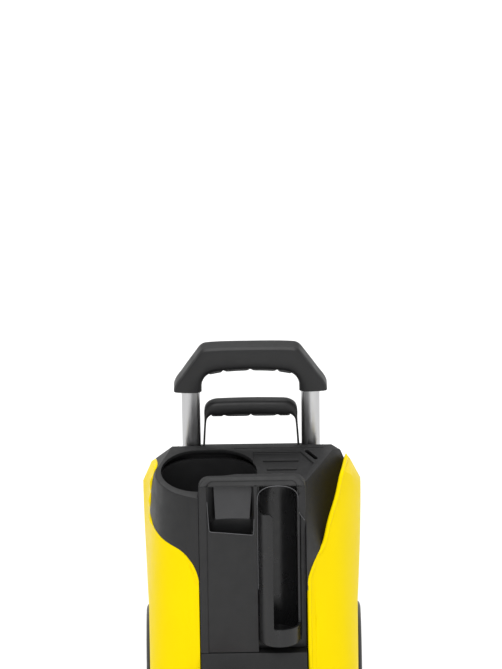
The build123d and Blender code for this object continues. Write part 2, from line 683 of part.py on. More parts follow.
with BuildPart() as rear_housing:
    with BuildSketch(Plane.XY.offset(SKIRT_Z)):
        with Locations((0, (REAR_FRONT_Y + REAR_BACK_Y) / 2)):
            Rectangle(2 * REAR_HALF, REAR_BACK_Y - REAR_FRONT_Y)
        fillet(vertices().group_by(Axis.Y)[-1], 16)
    extrude(amount=REAR_TOP_Z - SKIRT_Z)
    chamfer(rear_housing.faces().sort_by(Axis.Z)[-1].edges().group_by(Axis.Y)[-1], 5)
    with BuildSketch(Plane.XY.offset(SKIRT_Z + 4)):
        with BuildLine():
            Polyline(
                (-REAR_HALF + WALL, REAR_FRONT_Y - 1), (REAR_HALF - WALL, REAR_FRONT_Y - 1),
                (REAR_HALF - WALL, REAR_BACK_Y - WALL), (WALL - REAR_HALF, REAR_BACK_Y - WALL),
                close=True,
            )
        make_face()
        fillet(vertices().group_by(Axis.Y)[-1], 12)
    extrude(amount=REAR_TOP_Z - SKIRT_Z - 10, mode=Mode.SUBTRACT)
    # sunk screw holes
    for radius, depth in ((4.4, 1.8), (2.2, 8)):
        with BuildSketch(rear_plane(0, 0)):
            with Locations(*REAR_SCREWS):
                Circle(radius)
        extrude(amount=-depth, mode=Mode.SUBTRACT)
    # way of the inlet pipe through the floor
    with Locations((INLET[0] - 5, REAR_FRONT_Y, SKIRT_Z + 2)):
        Box(40, 60, 30, mode=Mode.SUBTRACT)
    # guide bosses, and the way of the tubes
    with BuildSketch(Plane.XY.offset(GUIDE_FOOT_Z)):
        for side in (1, -1):
            with Locations((side * TUBE_X, TUBE_Y)):
                Circle(GUIDE_R + 2)
    extrude(amount=REAR_TOP_Z - 2 - GUIDE_FOOT_Z)
    for side in (1, -1):
        with BuildSketch(Plane.XY.offset(GUIDE_FOOT_Z - 1)):
            with Locations((side * TUBE_X, TUBE_Y)):
                Circle(GUIDE_R)
        extrude(amount=80, mode=Mode.SUBTRACT)
        with BuildSketch(Plane.XY.offset(SKIRT_Z - 1)):
            with Locations((side * TUBE_X, TUBE_Y)):
                Circle(TUBE_R + 0.6)
        extrude(amount=8, mode=Mode.SUBTRACT)
        # slots for the carry handle's arms
        with Locations((side * ARM_X, CARRY_Y, REAR_TOP_Z)):
            Box(5, ARM_DEPTH + 1, 30, mode=Mode.SUBTRACT)
    # vent slots in the back
    with BuildSketch(Plane.XZ.offset(-REAR_BACK_Y - 1)):
        with GridLocations(64, 11, 2, 9):
            SlotOverall(46, 4.5)
    vents = extrude(amount=12, mode=Mode.PRIVATE)
    add(vents.moved(Location((0, 0, 236))), mode=Mode.SUBTRACT)
    # holes for the water inlet and the cable gland
    for (x, z), radius in ((INLET, 16), (GLAND, 9)):
        with BuildSketch(Plane.XZ.offset(-REAR_BACK_Y - 1)):
            with Locations((x, z)):
                Circle(radius)
        extrude(amount=12, mode=Mode.SUBTRACT)
save(rear_housing.part, "rear_housing")

with BuildPart() as tube_guides:
    for side in (1, -1):
        with BuildSketch(Plane.XY.offset(GUIDE_FOOT_Z)):
            with Locations((side * TUBE_X, TUBE_Y)):
                Circle(GUIDE_R)
                Circle(TUBE_R + 0.08, mode=Mode.SUBTRACT)
        extrude(amount=REAR_TOP_Z + 1 - GUIDE_FOOT_Z)
save(tube_guides.part, "tube_guides")

# ---------------------------------------------------------------- carry handle between the tubes
CARRY_Z = 499
CARRY_HALF = 62
CARRY_BAR = 23
ARM_THICK = 4
ARM_FOOT_Z = 416

with BuildPart() as carry_handle:
    with BuildSketch(Plane.XZ.offset(-CARRY_Y)):
        with BuildLine():
            bottom = CARRY_Z - CARRY_BAR / 2
            top = CARRY_Z + CARRY_BAR / 2
            Line((-CARRY_HALF, bottom - 1), (-CARRY_HALF, top - 2))
            ThreePointArc((-CARRY_HALF, top - 2), (0, top), (CARRY_HALF, top - 2))
            Line((CARRY_HALF, top - 2), (CARRY_HALF, bottom - 1))
            ThreePointArc((CARRY_HALF, bottom - 1), (0, bottom), (-CARRY_HALF, bottom - 1))
        make_face()
    extrude(amount=CARRY_BAR / 2, both=True)
    fillet(carry_handle.edges().filter_by(GeomType.CIRCLE), 8.5)
    for side in (1, -1):
        with BuildSketch(Plane.XZ.offset(-CARRY_Y)):
            with BuildLine():
                Polyline(
                    (side * (CARRY_HALF - 6), CARRY_Z + 4),
                    (side * (CARRY_HALF + 1.5), CARRY_Z + 4),
                    (side * (CARRY_HALF + 2.5), CARRY_Z - 8),
                    (side * (ARM_X + ARM_THICK / 2), REAR_TOP_Z + 4),
                    (side * (ARM_X + ARM_THICK / 2), ARM_FOOT_Z),
                    (side * (ARM_X - ARM_THICK / 2), ARM_FOOT_Z),
                    (side * (ARM_X - ARM_THICK / 2), REAR_TOP_Z + 4),
                    (side * (CARRY_HALF - 2), CARRY_Z - 14),
                    (side * (CARRY_HALF - 8), CARRY_Z - 9),
                    close=True,
                )
            make_face()
        extrude(amount=ARM_DEPTH / 2, both=True)
    # the soft underside insert's seat, with a notch at each ridge
    with BuildSketch(Plane.XZ.offset(-CARRY_Y)):
        with BuildLine():
            seat = CARRY_Z - CARRY_BAR / 2 + 3
            Polyline((-50, 470), (50, 470), (50, seat), (-50, seat), close=True)
        make_face()
    extrude(amount=9, both=True, mode=Mode.SUBTRACT)
save(carry_handle.part, "carry_handle")

NOTCHES = (-36, 0, 36)

with BuildPart() as carry_pad:
    with BuildSketch(Plane.XZ.offset(-CARRY_Y)):
        with BuildLine():
            seat = CARRY_Z - CARRY_BAR / 2 + 3
            Polyline((-49.8, seat), (-49.8, seat - 4), (49.8, seat - 4), (49.8, seat), close=True)
        make_face()
        for x in NOTCHES:
            with Locations((x, seat - 4)):
                Rectangle(2.4, 3, mode=Mode.SUBTRACT)
    extrude(amount=8.8, both=True)
save(carry_pad.part, "carry_pad")

# ---------------------------------------------------------------- telescopic handle
for side, name in ((-1, "left"), (1, "right")):
    with BuildPart() as tube:
        with BuildSketch(Plane.XY.offset(TUBE_FOOT_Z)):
            with Locations((side * TUBE_X, TUBE_Y)):
                Circle(TUBE_R)
                Circle(TUBE_R - TUBE_WALL, mode=Mode.SUBTRACT)
        extrude(amount=TUBE_TOP_Z - TUBE_FOOT_Z)
    save(tube.part, f"{name}_tube")

with BuildPart() as tube_end_plugs:
    for side in (1, -1):
        with Locations((side * TUBE_X, TUBE_Y, TUBE_FOOT_Z + 7)):
            Cylinder(TUBE_R - TUBE_WALL, 14)
        with Locations((side * TUBE_X, TUBE_Y, TUBE_FOOT_Z - 1)):
            Cylinder(TUBE_R - 0.3, 2)
save(tube_end_plugs.part, "tube_end_plugs")

with BuildPart() as grip_spigots:
    for side in (1, -1):
        with Locations((side * TUBE_X, TUBE_Y, TUBE_TOP_Z - 25)):
            Cylinder(TUBE_R - TUBE_WALL, 50)
save(grip_spigots.part, "grip_spigots")

GRIP_LEG = 68
PAD_HALF = 60
PAD_TOP_Z = GRIP_BAR_Z + 5

with BuildPart() as grip_shell:
    with BuildSketch(Plane.XZ.offset(-TUBE_Y)):
        with BuildLine():
            Polyline(
                (-69.5, GRIP_TOP_Z), (69.5, GRIP_TOP_Z), (97.5, 547), (104, 537), (107, GRIP_BOTTOM_Z),
                (GRIP_LEG, GRIP_BOTTOM_Z), (GRIP_LEG, GRIP_BAR_Z),
                (-GRIP_LEG, GRIP_BAR_Z), (-GRIP_LEG, GRIP_BOTTOM_Z),
                (-107, GRIP_BOTTOM_Z), (-104, 537), (-97.5, 547),
                close=True,
            )
        make_face()
        fillet(vertices().filter_by_position(Axis.Y, GRIP_TOP_Z - 1, GRIP_TOP_Z + 1), 12)
        fillet(vertices().filter_by_position(Axis.X, -GRIP_LEG - 0.5, 0.5 - GRIP_LEG).sort_by(Axis.Z)[-1], 9)
        fillet(vertices().filter_by_position(Axis.X, GRIP_LEG - 0.5, GRIP_LEG + 0.5).sort_by(Axis.Z)[-1], 9)
    extrude(amount=GRIP_DEPTH / 2, both=True)
    for face in (grip_shell.faces().sort_by(Axis.Y)[0], grip_shell.faces().sort_by(Axis.Y)[-1]):
        fillet(face.outer_wire().edges(), 4)
    # sockets for the tubes
    for side in (1, -1):
        with BuildSketch(Plane.XY.offset(GRIP_BOTTOM_Z - 1)):
            with Locations((side * TUBE_X, TUBE_Y)):
                Circle(TUBE_R)
        extrude(amount=TUBE_TOP_Z - GRIP_BOTTOM_Z + 1, mode=Mode.SUBTRACT)
    with Locations((0, TUBE_Y, (GRIP_BAR_Z + PAD_TOP_Z) / 2 - 5)):
        Box(2 * PAD_HALF, 24, PAD_TOP_Z - GRIP_BAR_Z + 10, mode=Mode.SUBTRACT)
save(grip_shell.part, "grip_shell")

with BuildPart() as grip_pad:
    with BuildSketch(Plane.XZ.offset(-TUBE_Y)):
        with Locations((0, (PAD_TOP_Z + GRIP_BAR_Z - 1) / 2)):
            Rectangle(2 * PAD_HALF - 0.4, PAD_TOP_Z - GRIP_BAR_Z + 1)
        for x in NOTCHES:
            with Locations((x, GRIP_BAR_Z - 1)):
                Rectangle(2.4, 3.4, mode=Mode.SUBTRACT)
    extrude(amount=11.8, both=True)
save(grip_pad.part, "grip_pad")


# ---------------------------------------------------------------- motor and axial pump on the upright axis
def drum(low_z, high_z, radius, hole=0):
    """A disc or ring on the motor's axis."""
    with BuildPart() as part:
        with BuildSketch(Plane.XY.offset(low_z)):
            with Locations((0, MOTOR_Y)):
                Circle(radius)
                if hole:
                    Circle(hole, mode=Mode.SUBTRACT)
        extrude(amount=high_z - low_z)
    return part.part


SHAFT_R = 6
PLATE_Z = 160  # lower end plate of the motor
CAN_TOP_Z = 262
HEAD_Z = 52

with BuildPart() as rubber_mounts:
    for place in POSTS:
        with Locations((*place, (POST_TOP_Z + PLATE_Z) / 2)):
            Cylinder(9, PLATE_Z - POST_TOP_Z)
save(rubber_mounts.part, "rubber_mounts")

with BuildPart() as motor_plate:
    add(drum(PLATE_Z, PLATE_Z + 9, MOTOR_R, 16))
    with BuildSketch(Plane.XY.offset(PLATE_Z)):
        for place in POSTS:
            with Locations(place):
                Circle(10)
        with Locations((0, POSTS[0][1]), (0, POSTS[1][1])):
            Rectangle(124, 12)
        with Locations((0, MOTOR_Y)):
            Circle(50, mode=Mode.SUBTRACT)
    extrude(amount=6)
    with Locations(*[(*place, PLATE_Z + 3) for place in POSTS]):
        Cylinder(3, 20, mode=Mode.SUBTRACT)
save(motor_plate.part, "motor_plate")

with BuildPart() as mount_screws:
    for place in POSTS:
        with Locations((*place, PLATE_Z + 8)):
            Cylinder(5.5, 4)
        with Locations((*place, PLATE_Z + 3)):
            Cylinder(3, 6)
save(mount_screws.part, "mount_screws")

save(drum(PLATE_Z + 9, CAN_TOP_Z, MOTOR_R, MOTOR_R - 3), "motor_can")
save(drum(CAN_TOP_Z, CAN_TOP_Z + 7, MOTOR_R, 14), "motor_cover")
save(drum(184, 244, MOTOR_R - 3, 31), "stator_core")
with BuildPart() as stator_windings:
    add(drum(172, 184, 49, 33))
    add(drum(244, 256, 49, 33))
save(stator_windings.part, "stator_windings")
save(drum(PLATE_Z, PLATE_Z + 9, 16, SHAFT_R), "lower_bearing")
save(drum(CAN_TOP_Z, CAN_TOP_Z + 7, 14, SHAFT_R), "upper_bearing")
save(drum(140, 286, SHAFT_R - 0.05), "motor_shaft")
save(drum(182, 246, 30.4, SHAFT_R - 0.05), "rotor_core")

with BuildPart() as cooling_fan:
    add(drum(272, 284, 12, SHAFT_R - 0.05))
    add(drum(272, 274, 50, 8))
    with BuildSketch(Plane.XY.offset(274)):
        with Locations(Location((0, MOTOR_Y), 0)):
            with PolarLocations(30, 9):
                Rectangle(38, 2.4, rotation=18)
    extrude(amount=10)
save(cooling_fan.part, "cooling_fan")

SWASH_ANGLE = 9
with BuildPart() as swash_plate:
    add(drum(132, 156, 14))
    tilted = (sin(radians(SWASH_ANGLE)), 0, cos(radians(SWASH_ANGLE)))
    with BuildSketch(Plane(origin=(0, MOTOR_Y, 138), z_dir=tilted)):
        Circle(33)
    extrude(amount=9)
    with Locations((0, MOTOR_Y, 150)):
        Cylinder(SHAFT_R - 0.05, 20, mode=Mode.SUBTRACT)
save(swash_plate.part, "swash_plate")

PISTON_TURNS = [radians(90 + 120 * i) for i in range(3)]
PISTONS = [(PISTON_CIRCLE_R * cos(turn), MOTOR_Y + PISTON_CIRCLE_R * sin(turn)) for turn in PISTON_TURNS]
PISTON_TOP_Z = 129


def at_pistons(low_z, high_z, radius, hole=0):
    """One disc or ring on each piston's axis."""
    with BuildPart() as part:
        with BuildSketch(Plane.XY.offset(low_z)):
            with Locations(*PISTONS):
                Circle(radius)
                if hole:
                    Circle(hole, mode=Mode.SUBTRACT)
        extrude(amount=high_z - low_z)
    return part.part


with BuildPart() as pistons:
    add(at_pistons(86, PISTON_TOP_Z - 4, 6))
    add(at_pistons(PISTON_TOP_Z - 4, PISTON_TOP_Z, 9))
save(pistons.part, "pistons")
save(at_pistons(108, PISTON_TOP_Z - 4, 8.6, 6.8), "piston_springs")

with BuildPart() as cylinder_block:
    add(drum(76, 108, 42))
    add(at_pistons(80, 110, 6.06), mode=Mode.SUBTRACT)
save(cylinder_block.part, "cylinder_block")

save(drum(108, PLATE_Z, 42, 38), "pump_housing")

with BuildPart() as valve_head:
    add(drum(HEAD_Z, 76, 42))
    with Locations((34, MOTOR_Y - 42, (HEAD_Z + 76) / 2), (34, MOTOR_Y + 40, (HEAD_Z + 76) / 2)):
        Box(24, 24, 76 - HEAD_Z)
save(valve_head.part, "valve_head")


def round_pipe(points, bend, radius):
    """A pipe along straight runs joined by bends."""
    with BuildPart() as part:
        with BuildLine() as way:
            FilletPolyline(*points, radius=bend)
        with BuildSketch(Plane(origin=points[0], z_dir=way.line % 0)):
            Circle(radius)
        sweep(path=way.line)
    return part.part


head_mid_z = (HEAD_Z + 76) / 2
outlet_back = cover_plane(*OUTLET, -34).origin
outlet_way = cover_plane(*OUTLET).z_dir
outlet_bend = outlet_back - outlet_way * 26
outlet_route = [
    (34, MOTOR_Y - 54, head_mid_z), (34, outlet_bend.Y, head_mid_z), tuple(outlet_bend), tuple(outlet_back),
]
save(round_pipe(outlet_route, 9, 6), "outlet_pipe")
inlet_route = [
    (34, MOTOR_Y + 52, head_mid_z), (34, 96, head_mid_z), (INLET[0], 96, INLET[1]), (INLET[0], 104, INLET[1]),
]
save(round_pipe(inlet_route, 5, 6), "inlet_pipe")

# ---------------------------------------------------------------- connections and fittings
INLET_TIP_R = 8.5


with BuildPart() as water_inlet:
    with BuildSketch(rear_plane(*INLET, -23)):
        Circle(15.7)
    extrude(amount=25)
    with BuildSketch(rear_plane(*INLET, 2)):
        Circle(12)
    extrude(amount=8)
    with BuildSketch(rear_plane(*INLET, 10)):
        Circle(INLET_TIP_R)
    extrude(amount=16)
    with BuildSketch(rear_plane(*INLET, 26)):
        Circle(5)
    extrude(amount=-30, mode=Mode.SUBTRACT)
save(water_inlet.part, "water_inlet")

with BuildPart() as cable_gland:
    with BuildSketch(rear_plane(*GLAND, -8)):
        Circle(8.8)
    extrude(amount=8)
    with BuildSketch(rear_plane(*GLAND, 0)):
        Circle(11)
    extrude(amount=4)
    with BuildSketch(rear_plane(*GLAND, 4)):
        Circle(7)
    extrude(amount=18, taper=6)
    with BuildSketch(rear_plane(*GLAND, 22)):
        Circle(3.6)
    extrude(amount=-26, mode=Mode.SUBTRACT)
save(cable_gland.part, "cable_gland")

HOOK_X = 0
HOOK_TOP_Z = 372
HOOK_FOOT_Z = 168
HOOK_PIN_R = 4

with BuildPart() as cable_hook_base:
    with BuildSketch(rear_plane(HOOK_X, HOOK_FOOT_Z)):
        RectangleRounded(40, 26, 6)
    extrude(amount=14)
    with BuildSketch(rear_plane(HOOK_X, HOOK_FOOT_Z - 24, 14)):
        with Locations((0, 8)):
            RectangleRounded(40, 42, 8)
    extrude(amount=5)
save(cable_hook_base.part, "cable_hook_base")

with BuildPart() as hook_pivot:
    with BuildSketch(rear_plane(HOOK_X, HOOK_TOP_Z)):
        Circle(13)
    extrude(amount=5)
    with BuildSketch(rear_plane(HOOK_X, HOOK_TOP_Z, 5)):
        Circle(HOOK_PIN_R)
    extrude(amount=19)
save(hook_pivot.part, "hook_pivot")

with BuildPart() as cable_hook:
    with BuildSketch(rear_plane(HOOK_X, HOOK_TOP_Z, 5.3)):
        Circle(12)
    extrude(amount=13)
    with BuildSketch(rear_plane(HOOK_X, HOOK_TOP_Z + 14, 13)):
        RectangleRounded(40, 46, 8)
    extrude(amount=5.3)
    with BuildSketch(rear_plane(HOOK_X, HOOK_TOP_Z, 0)):
        Circle(HOOK_PIN_R + 0.06)
    extrude(amount=60, mode=Mode.SUBTRACT)
save(cable_hook.part, "cable_hook")

WELL_MID_X = WELL[0] + WELL_STRETCH / 2

with BuildPart() as detergent_valve:
    with Locations((WELL_MID_X, WELL[1], WELL_FLOOR_Z + 4)):
        Cylinder(VALVE_R + 4, 8)
    with Locations((WELL_MID_X, WELL[1], WELL_FLOOR_Z - 10)):
        Cylinder(VALVE_R, 20)
    with Locations((WELL_MID_X, WELL[1], WELL_FLOOR_Z + 12)):
        Cylinder(5, 8)
save(detergent_valve.part, "detergent_valve")

VALVE_FOOT_Z = WELL_FLOOR_Z - 20
hose_route = [
    (WELL_MID_X, WELL[1], VALVE_FOOT_Z), (WELL_MID_X, WELL[1], 296), (-70, -2, 262), (-70, -6, 120),
    (-64, 8, head_mid_z), (-42, 10, head_mid_z),
]
save(round_pipe(hose_route, 9, 3.5), "detergent_hose")

with BuildPart() as capacitor:
    with Locations((60, 62, 232)):
        Cylinder(15, 62)
        fillet(capacitor.edges(), 2)
save(capacitor.part, "capacitor")

with BuildPart() as rear_screws:
    with BuildSketch(rear_plane(0, 0, -1.8)):
        with Locations(*REAR_SCREWS):
            Circle(4.2)
    extrude(amount=1.5)
    with BuildSketch(rear_plane(0, 0, -12)):
        with Locations(*REAR_SCREWS):
            Circle(2)
    extrude(amount=10.2)
save(rear_screws.part, "rear_screws")
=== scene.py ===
import json
from math import copysign, cos, pi, radians, sin, tan

import bmesh
import bpy
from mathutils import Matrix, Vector


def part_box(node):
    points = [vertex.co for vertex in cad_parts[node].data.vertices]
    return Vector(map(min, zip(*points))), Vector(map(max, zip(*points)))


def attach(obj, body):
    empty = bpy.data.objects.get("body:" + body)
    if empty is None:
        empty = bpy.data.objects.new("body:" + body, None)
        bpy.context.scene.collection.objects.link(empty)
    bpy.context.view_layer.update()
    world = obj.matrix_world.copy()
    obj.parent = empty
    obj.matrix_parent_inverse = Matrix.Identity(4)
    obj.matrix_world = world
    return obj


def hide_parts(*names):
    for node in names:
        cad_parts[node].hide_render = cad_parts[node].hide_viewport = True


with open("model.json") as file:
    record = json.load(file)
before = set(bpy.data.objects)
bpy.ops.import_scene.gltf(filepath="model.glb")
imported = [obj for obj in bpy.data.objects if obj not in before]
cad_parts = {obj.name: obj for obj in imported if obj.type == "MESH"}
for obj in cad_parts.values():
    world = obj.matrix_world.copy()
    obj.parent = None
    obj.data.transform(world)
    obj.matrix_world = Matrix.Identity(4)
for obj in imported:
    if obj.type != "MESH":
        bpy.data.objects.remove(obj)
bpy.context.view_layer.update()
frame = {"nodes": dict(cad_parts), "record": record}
MM = 0.001


# ---------------------------------------------------------------- materials
class Nodes:
    """A material with its shader, and short calls for the nodes that feed it."""

    def __init__(self, name):
        self.material = bpy.data.materials.new(name)
        self.material.use_nodes = True
        self.tree = self.material.node_tree
        self.shader = self.tree.nodes["Principled BSDF"]
        self.place = self.tree.nodes.new("ShaderNodeTexCoord").outputs["Object"]

    def set(self, **values):
        for name, value in values.items():
            self.shader.inputs[name.replace("_", " ").title().replace("Ior", "IOR")].default_value = value

    def link(self, output, target):
        self.tree.links.new(output, self.shader.inputs[target])

    def stretched(self, scale):
        mapping = self.tree.nodes.new("ShaderNodeMapping")
        mapping.inputs["Scale"].default_value = scale
        self.tree.links.new(self.place, mapping.inputs["Vector"])
        return mapping.outputs["Vector"]

    def noise(self, scale, detail=3.0, stretch=(1, 1, 1)):
        node = self.tree.nodes.new("ShaderNodeTexNoise")
        node.inputs["Scale"].default_value = scale
        node.inputs["Detail"].default_value = detail
        self.tree.links.new(self.stretched(stretch), node.inputs["Vector"])
        return node.outputs["Fac"]

    def cells(self, scale):
        node = self.tree.nodes.new("ShaderNodeTexVoronoi")
        node.inputs["Scale"].default_value = scale
        self.tree.links.new(self.stretched((1, 1, 1)), node.inputs["Vector"])
        return node.outputs["Distance"]

    def spread(self, value, low, high):
        node = self.tree.nodes.new("ShaderNodeMapRange")
        node.inputs["From Min"].default_value = 0.3
        node.inputs["From Max"].default_value = 0.7
        node.inputs["To Min"].default_value = low
        node.inputs["To Max"].default_value = high
        self.tree.links.new(value, node.inputs["Value"])
        return node.outputs["Result"]

    def blend(self, value, first, second):
        node = self.tree.nodes.new("ShaderNodeMix")
        node.data_type = "RGBA"
        node.inputs["A"].default_value = (*first, 1)
        node.inputs["B"].default_value = (*second, 1)
        self.tree.links.new(value, node.inputs["Factor"])
        return node.outputs["Result"]

    def bump(self, height, strength, distance):
        node = self.tree.nodes.new("ShaderNodeBump")
        node.inputs["Strength"].default_value = strength
        node.inputs["Distance"].default_value = distance
        self.tree.links.new(height, node.inputs["Height"])
        self.link(node.outputs["Normal"], "Normal")


def shade(colour, factor):
    """A colour made lighter or darker."""
    return tuple(min(1.0, c * factor) for c in colour)


def moulded(name, colour, roughness, grain=2600, grain_depth=0.25, spread=0.12):
    """Moulded plastic with a spark-eroded grain and faint handling marks."""
    m = Nodes(name)
    m.set(ior=1.49, specular_ior_level=0.35)
    m.link(m.blend(m.noise(26, 4), shade(colour, 1 - spread), shade(colour, 1 + spread)), "Base Color")
    m.link(m.spread(m.noise(60, 4), roughness - 0.05, roughness + 0.06), "Roughness")
    m.bump(m.noise(grain, 2), grain_depth, 0.00012)
    return m.material


def glossy(name, colour, roughness, spread=0.04):
    """Polished moulding: a faint orange peel under a clear sheen."""
    m = Nodes(name)
    m.set(ior=1.46, specular_ior_level=0.03, coat_weight=0.01, coat_roughness=0.2)
    m.link(m.blend(m.noise(14, 3), shade(colour, 1 - spread), shade(colour, 1 + spread)), "Base Color")
    m.link(m.spread(m.noise(90, 4), roughness - 0.04, roughness + 0.05), "Roughness")
    m.bump(m.noise(420, 2), 0.04, 0.0002)
    return m.material


def metal(name, colour, roughness, lay=(1, 1, 0.04), grain=1500, depth=0.08):
    """Bare metal with drawing or turning marks along its lay."""
    m = Nodes(name)
    m.set(metallic=1.0)
    lines = m.noise(grain, 3, lay)
    m.link(m.blend(lines, shade(colour, 0.9), shade(colour, 1.06)), "Base Color")
    m.link(m.spread(lines, roughness - 0.06, roughness + 0.08), "Roughness")
    m.bump(lines, depth, 0.00005)
    return m.material


def rubber(name, colour, roughness=0.62):
    """Matt rubber with fine pitting and a dusty bloom."""
    m = Nodes(name)
    m.set(ior=1.52, sheen_weight=0.15, sheen_roughness=0.5)
    m.link(m.blend(m.noise(35, 5), shade(colour, 0.8), shade(colour, 1.5)), "Base Color")
    m.link(m.spread(m.noise(120, 4), roughness - 0.08, roughness + 0.1), "Roughness")
    m.bump(m.cells(1800), 0.12, 0.0001)
    return m.material


BLACK = (0.0085, 0.0085, 0.009)
YELLOW = (0.78, 0.59, 0.0)
finish = {
    "black_housing": moulded("housing_black", BLACK, 0.5),
    "yellow_shell": glossy("shell_yellow", YELLOW, 0.34),
    "dark_cover": moulded("cover_black", shade(BLACK, 0.7), 0.56),
    "knob": glossy("knob_red", (0.55, 0.02, 0.015), 0.3),
    "pointer": glossy("pointer_white", (0.8, 0.8, 0.78), 0.3),
    "switch_body": moulded("switch_grey", (0.09, 0.09, 0.1), 0.5),
    "brass": metal("brass_turned", (0.78, 0.57, 0.25), 0.28, (0.05, 1, 1)),
    "grip": moulded("grip_black", shade(BLACK, 0.75), 0.46),
    "grip_pad": rubber("pad_black", (0.014, 0.014, 0.014)),
    "tube": metal("tube_anodised", (0.47, 0.47, 0.475), 0.36, (1, 1, 0.02)),
    # a lighter black, raised so that the holster's back plate looks lit: painted light, which the tube
    # guides share
    "guide": moulded("guide_black_painted_light", shade(BLACK, 3.2), 0.42, 900, 0.6),
    "channel": moulded("channel_black", BLACK, 0.3, 2600, 0.15),
    # the lips' black made nine times lighter: a painted highlight on the rounded mouth edges
    "lip": moulded("lip_painted_highlight", shade(BLACK, 9), 0.35),
    "rubber": rubber("rubber_black", (0.016, 0.016, 0.016)),
    "tyre": rubber("tyre_black", (0.014, 0.014, 0.014), 0.7),
    "rim": moulded("rim_black", shade(BLACK, 1.2), 0.45),
    "hub_cap": glossy("cap_yellow", YELLOW, 0.25),
    "steel": metal("steel_ground", (0.52, 0.52, 0.53), 0.3, (1, 1, 0.1)),
    "lamination": metal("sheet_stack", (0.2, 0.2, 0.22), 0.45, (0.02, 0.02, 1)),
    "winding": metal("copper_enamel", (0.6, 0.22, 0.09), 0.35, (0.2, 0.2, 1)),
    "cast": metal("die_cast", (0.55, 0.55, 0.56), 0.48, (1, 1, 1), 700, 0.3),
    "fan": moulded("fan_natural", (0.45, 0.44, 0.4), 0.5),
}


# ---------------------------------------------------------------- softened copies of the CAD pieces
LEAN = Vector((0, tan(radians(6)), 1))  # the machine's front leans back along this
LIP_START = 9  # x and z in mm of the lip of the fin beside the lance channel
LIP_END = 28
FIN_EDGE = 28.6
LIP_LOW = 398
LIP_HIGH = 426
LIP_RISE = 8
WELD = 2e-6  # vertices closer than this are one


def lift_channel_lip(shape):
    """Raises the channel's curved lip towards its free edge, along the channel's own axis."""
    for vert in shape.verts:
        x, z = vert.co.x / MM, vert.co.z / MM
        if x < FIN_EDGE and LIP_LOW < z < LIP_HIGH:
            share = min(1.0, max(0.0, (x - LIP_START) / (LIP_END - LIP_START)))
            vert.co += LEAN * LIP_RISE * MM * share * share * (3 - 2 * share)


def softened(node, width, sharp=32):
    """A copy of a CAD node with its sharp edges rounded off by width, which then stands for the node."""
    mesh = frame["nodes"][node].data.copy()
    shape = bmesh.new()
    shape.from_mesh(mesh)
    bmesh.ops.remove_doubles(shape, verts=shape.verts, dist=WELD)
    if node == "lance_channel":
        lift_channel_lip(shape)
        shape.normal_update()
    edges = [e for e in shape.edges if len(e.link_faces) == 2 and e.calc_face_angle(0) > radians(sharp)]
    bmesh.ops.bevel(
        shape, geom=edges, offset=width, segments=2, profile=0.6, affect="EDGES", clamp_overlap=False,
    )
    shape.to_mesh(mesh)
    shape.free()
    piece = bpy.data.objects.new(node + "_finished", mesh)
    bpy.context.scene.collection.objects.link(piece)
    smooth(piece)
    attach(piece, body_of[node])
    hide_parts(node)
    paint(piece, look_of[node])


def smooth(piece, angle=34):
    """Smooth shading that keeps the edges sharper than angle."""
    piece.data.shade_smooth()
    piece.data.set_sharp_from_angle(angle=radians(angle))


def paint(piece, look):
    """Gives every face that finish."""
    piece.data.materials.clear()
    piece.data.materials.append(finish[look])


slot_of = {part["node"]: part["material_slot"] for part in frame["record"]["subparts"]}
look_of = dict(slot_of, lance_channel="channel")
body_of = {node: body for body, nodes in frame["record"]["behaviour"]["bodies"].items() for node in nodes}

EDGE = {  # width in mm of the rounding on each moulded piece
    "top_housing": 0.7, "storage_module": 1.0, "lance_channel": 0.5,
    "left_side_panel": 0.8, "right_side_panel": 0.8,
    "front_cover": 1.0, "rear_housing": 0.8, "base_chassis": 1.2, "front_feet": 1.0,
    "power_knob": 0.8, "cable_hook": 0.8, "cable_hook_base": 0.8, "tube_guides": 0.3,
    "water_inlet": 0.4, "outlet_connector": 0.4, "cable_gland": 0.3,
    "left_rim": 0.8, "right_rim": 0.8,
}
for node, piece in frame["nodes"].items():
    paint(piece, look_of[node])
    if node in EDGE:
        softened(node, EDGE[node] * MM)
    else:
        smooth(piece)


# ---------------------------------------------------------------- pieces built here
def solid_piece(name, shape, slot, body, replaced=(), sharp=34, look=None):
    """Puts a finished bmesh into the scene as one piece, in its slot's finish or in a look of its own."""
    bmesh.ops.recalc_face_normals(shape, faces=shape.faces)
    mesh = bpy.data.meshes.new(name)
    shape.to_mesh(mesh)
    shape.free()
    piece = bpy.data.objects.new(name, mesh)
    bpy.context.scene.collection.objects.link(piece)
    smooth(piece, sharp)
    paint(piece, look or slot)
    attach(piece, body)
    if replaced:
        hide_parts(*replaced)


def skin(shape, rings, closed_path=False):
    """Quads between neighbouring rings of points, with a cap at each end unless the path is closed."""
    rows = [[shape.verts.new(point) for point in ring] for ring in rings]
    pairs = list(zip(rows, rows[1:]))
    if closed_path:
        pairs.append((rows[-1], rows[0]))
    for near, far in pairs:
        for i in range(len(near)):
            j = (i + 1) % len(near)
            shape.faces.new((near[i], near[j], far[j], far[i]))
    if not closed_path:
        shape.faces.new(rows[0][::-1])
        shape.faces.new(rows[-1])


def between(p, q, r, s, t):
    """The Catmull-Rom value at share t of the way from q to r."""
    square = (2 * p - 5 * q + 4 * r - s) * t * t
    cube = (3 * q - p - 3 * r + s) * t ** 3
    return 0.5 * (2 * q + (r - p) * t + square + cube)


def spline_through(points, steps):
    """Catmull-Rom points through a list of tuples of any length."""
    ends = [points[0], *points, points[-1]]
    out = []
    for a, b, c, d in zip(ends, ends[1:], ends[2:], ends[3:]):
        for k in range(steps):
            out.append(tuple(between(p, q, r, s, k / steps) for p, q, r, s in zip(a, b, c, d)))
    out.append(points[-1])
    return out


